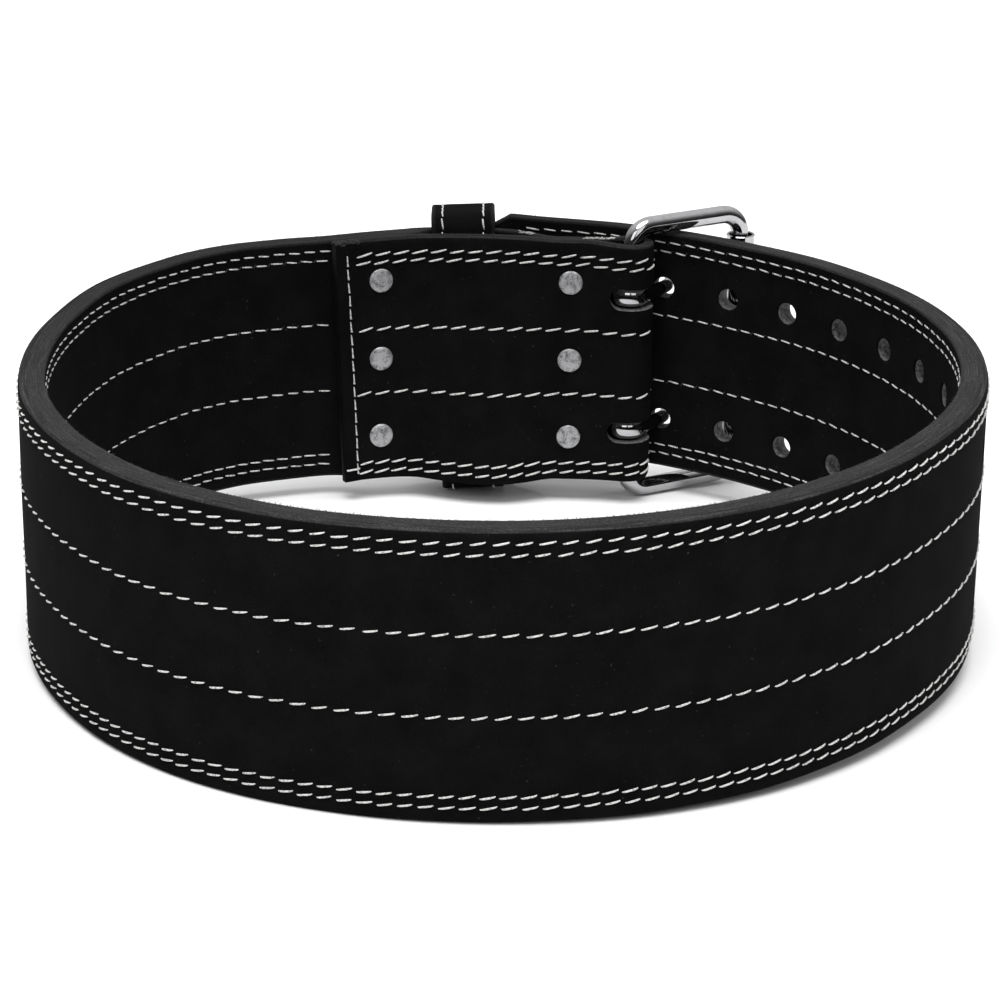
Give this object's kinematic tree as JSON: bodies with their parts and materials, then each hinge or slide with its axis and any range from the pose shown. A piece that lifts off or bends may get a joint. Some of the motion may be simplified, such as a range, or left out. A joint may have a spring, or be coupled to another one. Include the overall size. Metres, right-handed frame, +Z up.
{
  "type": "weightlifting belt",
  "caption": "Thick black suede powerlifting belt, buckled into a loop, with a double-prong roller buckle, punched holes, riveted end and keeper.",
  "frame": {"origin": "on the floor under the middle of the belt's bounding box", "axes": "+Z up from the floor the belt stands on, +Y towards the buckle, +X to the wearer's side where the frame swings out"},
  "size_m": [0.352, 0.3696, 0.1218],
  "materials": {
    "black_suede": "matte napped suede with charcoal burnished edges",
    "chrome": "bright chrome plate",
    "rivet_metal": "tumbled, mottled grey",
    "thread": "white bonded thread"
  },
  "bodies": {
    "root": {"strap": "black_suede", "keeper": "black_suede", "buckle_frame": "chrome", "roller": "chrome", "prong_upper": "chrome", "prong_lower": "chrome", "rivet_inner_top": "rivet_metal", "rivet_inner_middle": "rivet_metal", "rivet_inner_bottom": "rivet_metal", "rivet_outer_top": "rivet_metal", "rivet_outer_middle": "rivet_metal", "rivet_outer_bottom": "rivet_metal"}
  },
  "joints": []
}
